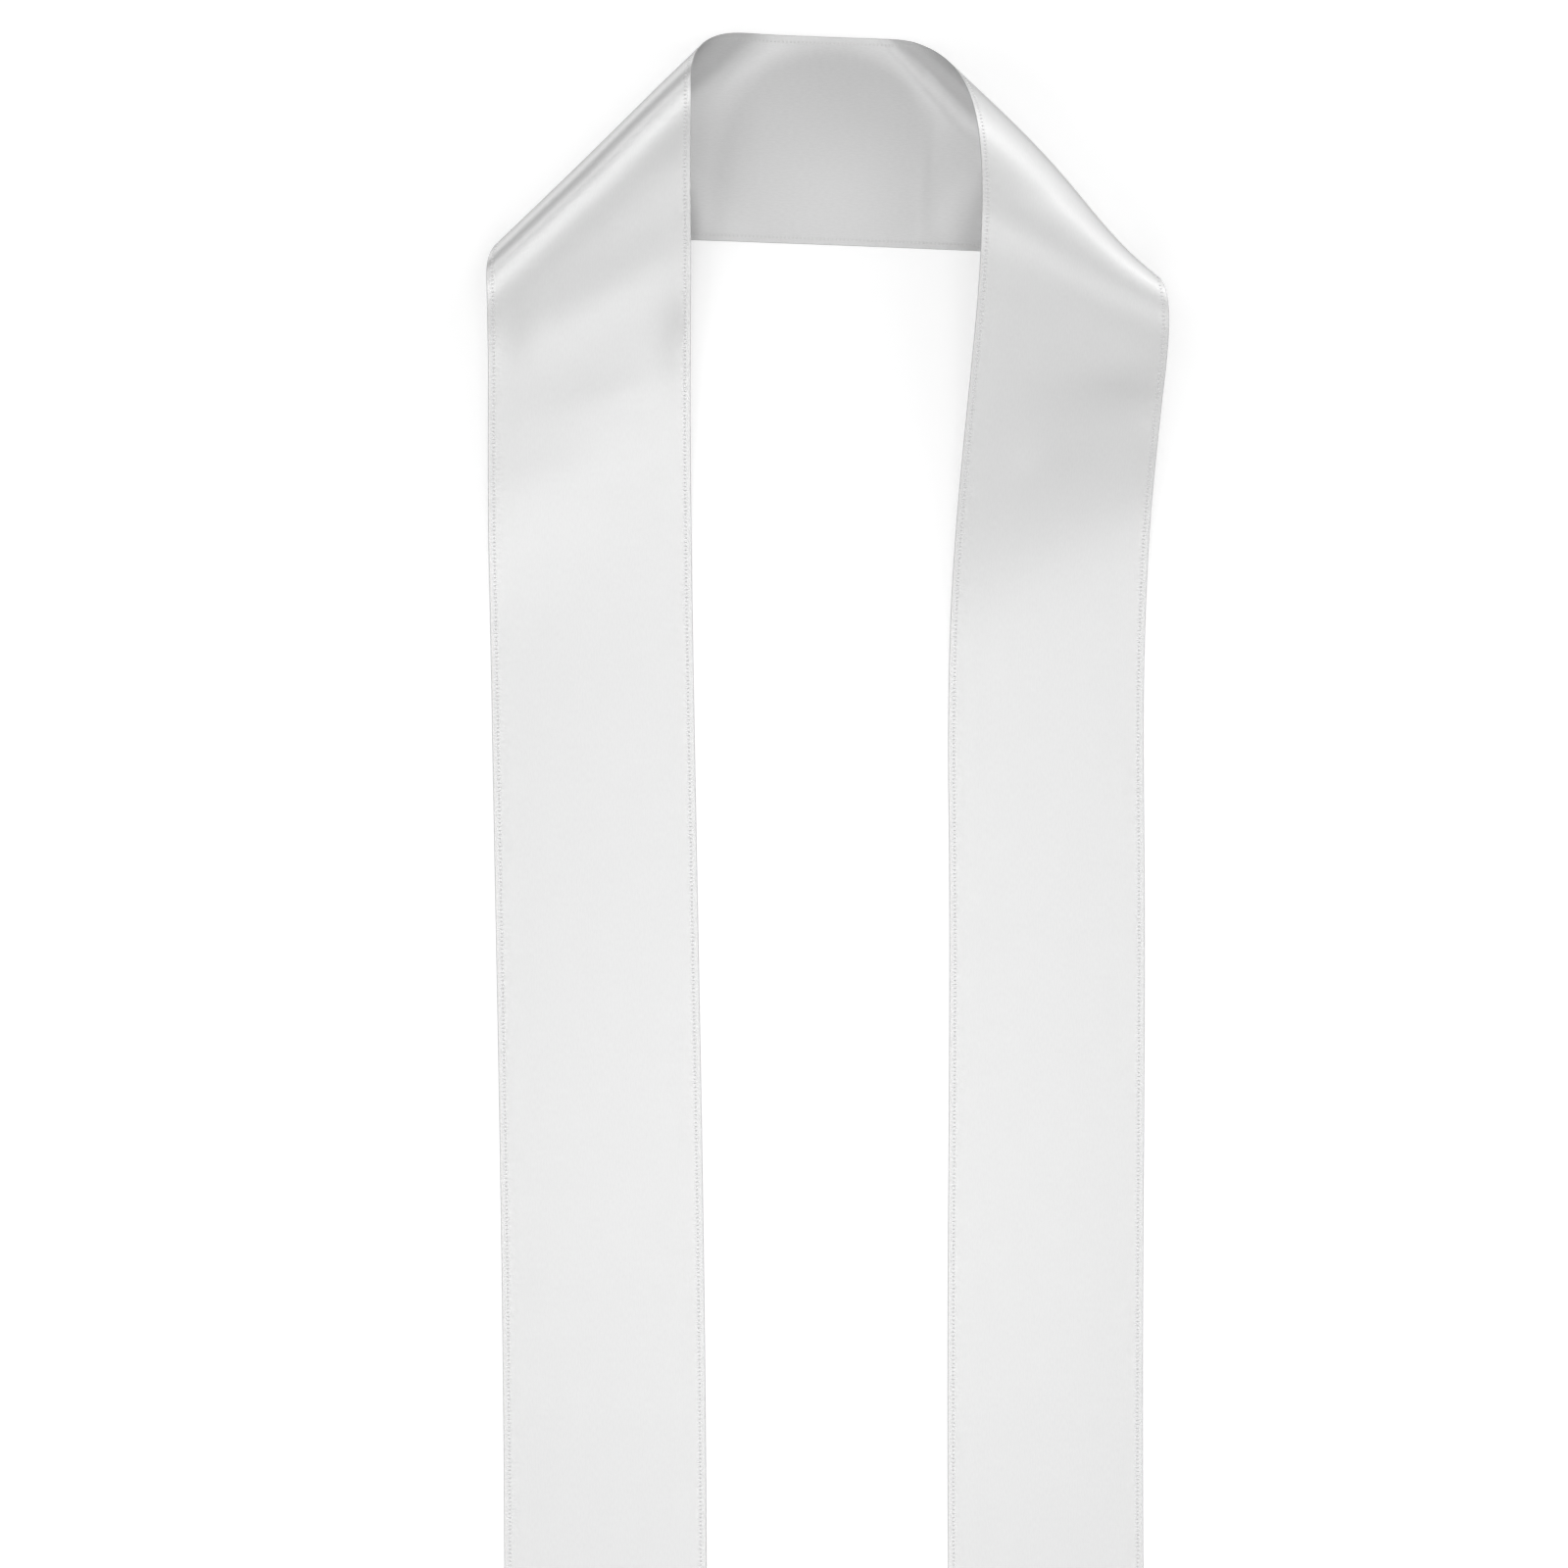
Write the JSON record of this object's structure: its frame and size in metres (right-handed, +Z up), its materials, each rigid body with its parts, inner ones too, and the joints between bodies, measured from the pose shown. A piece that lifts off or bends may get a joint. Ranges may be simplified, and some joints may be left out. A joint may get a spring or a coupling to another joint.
{
  "type": "satin stole",
  "caption": "Blank white satin stole, one length of ribbon laid flat with a soft fold at each shoulder and both arms side by side.",
  "frame": {"origin": "middle of the footprint, on the surface that the stole lies on", "axes": "+Y up the layout from the arms' ends to the neck, +Z up from the surface, +X to the right as seen from above"},
  "size_m": [0.3406, 0.8504, 0.0604],
  "materials": {
    "satin": "satin"
  },
  "bodies": {
    "root": {"satin_band": "satin"}
  },
  "joints": []
}
